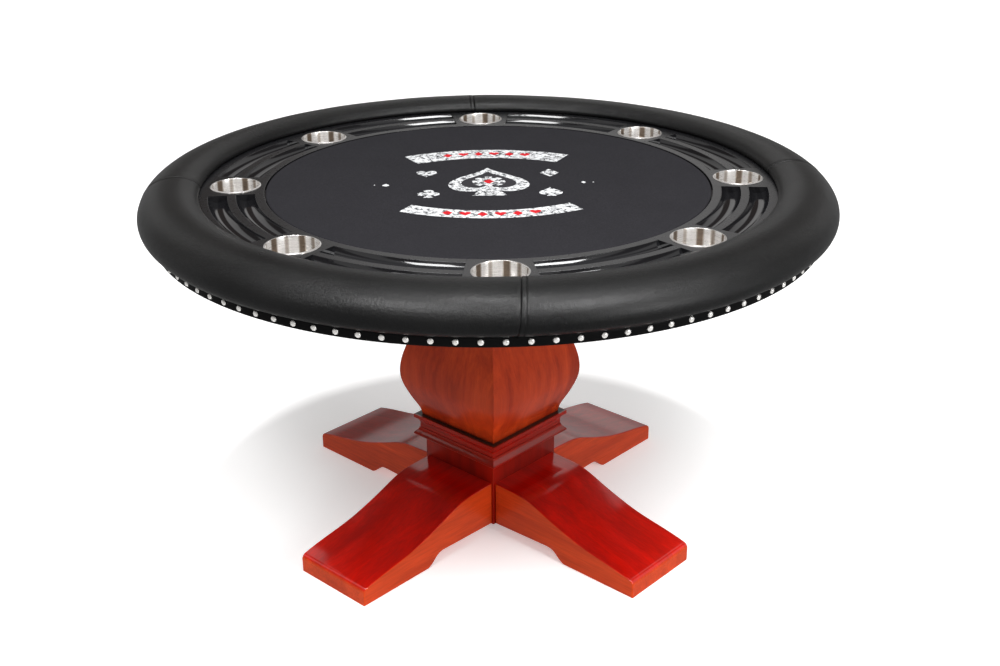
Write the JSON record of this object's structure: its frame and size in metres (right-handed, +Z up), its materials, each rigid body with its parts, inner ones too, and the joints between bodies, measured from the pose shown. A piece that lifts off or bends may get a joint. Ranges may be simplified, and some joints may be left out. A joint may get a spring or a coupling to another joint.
{
  "type": "round pedestal poker table",
  "caption": "Round poker table with a padded rail, drop-in cup holders, curved chip channels and a lift-out cloth surface on a square urn pedestal with swept legs.",
  "frame": {"origin": "on the floor, on the table's vertical axis", "axes": "+Z up; +X and +Y each along the middle of a leg, with a cup holder above each"},
  "size_m": [1.3974, 1.3974, 0.7765],
  "materials": {
    "rack_black": "black lacquer, satin on the ledges and gloss in the channels",
    "cup_steel": "brushed stainless steel",
    "plywood": "plain birch plywood",
    "foam": "open-cell upholstery foam",
    "vinyl": "black grained vinyl, semi-gloss",
    "nickel": "bright nickel",
    "zinc_steel": "zinc-plated steel",
    "cherry": "glossy red cherry stain",
    "dark_wood": "black-stained plywood",
    "cloth": "charcoal suited cloth with an off-white print"
  },
  "bodies": {
    "root": {"chip_tray_1": "rack_black", "cup_panel_1": "rack_black", "chip_tray_2": "rack_black", "cup_panel_2": "rack_black", "chip_tray_3": "rack_black", "cup_panel_3": "rack_black", "chip_tray_4": "rack_black", "cup_panel_4": "rack_black", "chip_tray_5": "rack_black", "cup_panel_5": "rack_black", "chip_tray_6": "rack_black", "cup_panel_6": "rack_black", "chip_tray_7": "rack_black", "cup_panel_7": "rack_black", "chip_tray_8": "rack_black", "cup_panel_8": "rack_black", "deck_panel": "dark_wood", "rail_spacer": "dark_wood", "rail_base": "dark_wood", "rail_foam": "foam", "rail_screws": "zinc_steel", "nailheads": "nickel", "skirt_band": "vinyl", "rail_cover_1": "vinyl", "column_panel_1": "cherry", "collar_moulding_1": "cherry", "leg_1": "cherry", "rail_cover_2": "vinyl", "column_panel_2": "cherry", "collar_moulding_2": "cherry", "leg_2": "cherry", "rail_cover_3": "vinyl", "column_panel_3": "cherry", "collar_moulding_3": "cherry", "leg_3": "cherry", "rail_cover_4": "vinyl", "column_panel_4": "cherry", "collar_moulding_4": "cherry", "leg_4": "cherry", "base_block": "cherry", "column_blocks": "plywood", "collar_plate": "dark_wood", "top_plate": "dark_wood", "plate_screws": "zinc_steel", "tie_rods": "zinc_steel", "rod_nuts": "zinc_steel", "washers": "zinc_steel", "leg_bolts": "zinc_steel", "barrel_nuts": "zinc_steel"},
    "cup_1": {"cup_holder_1": "cup_steel"},
    "cup_2": {"cup_holder_2": "cup_steel"},
    "cup_3": {"cup_holder_3": "cup_steel"},
    "cup_4": {"cup_holder_4": "cup_steel"},
    "cup_5": {"cup_holder_5": "cup_steel"},
    "cup_6": {"cup_holder_6": "cup_steel"},
    "cup_7": {"cup_holder_7": "cup_steel"},
    "cup_8": {"cup_holder_8": "cup_steel"},
    "playing_surface": {"play_board": "plywood", "play_foam": "foam", "play_cloth": "cloth"}
  },
  "joints": [
    {"name": "playing_surface_lift", "type": "slide", "parent": "root", "child": "playing_surface", "axis": [0, 0, 1], "range_m": [0, 0.12]},
    {"name": "cup_1_lift", "type": "slide", "parent": "root", "child": "cup_1", "axis": [0, 0, 1], "range_m": [0, 0.085]},
    {"name": "cup_2_lift", "type": "slide", "parent": "root", "child": "cup_2", "axis": [0, 0, 1], "range_m": [0, 0.085]},
    {"name": "cup_3_lift", "type": "slide", "parent": "root", "child": "cup_3", "axis": [0, 0, 1], "range_m": [0, 0.085]},
    {"name": "cup_4_lift", "type": "slide", "parent": "root", "child": "cup_4", "axis": [0, 0, 1], "range_m": [0, 0.085]},
    {"name": "cup_5_lift", "type": "slide", "parent": "root", "child": "cup_5", "axis": [0, 0, 1], "range_m": [0, 0.085]},
    {"name": "cup_6_lift", "type": "slide", "parent": "root", "child": "cup_6", "axis": [0, 0, 1], "range_m": [0, 0.085]},
    {"name": "cup_7_lift", "type": "slide", "parent": "root", "child": "cup_7", "axis": [0, 0, 1], "range_m": [0, 0.085]},
    {"name": "cup_8_lift", "type": "slide", "parent": "root", "child": "cup_8", "axis": [0, 0, 1], "range_m": [0, 0.085]}
  ]
}
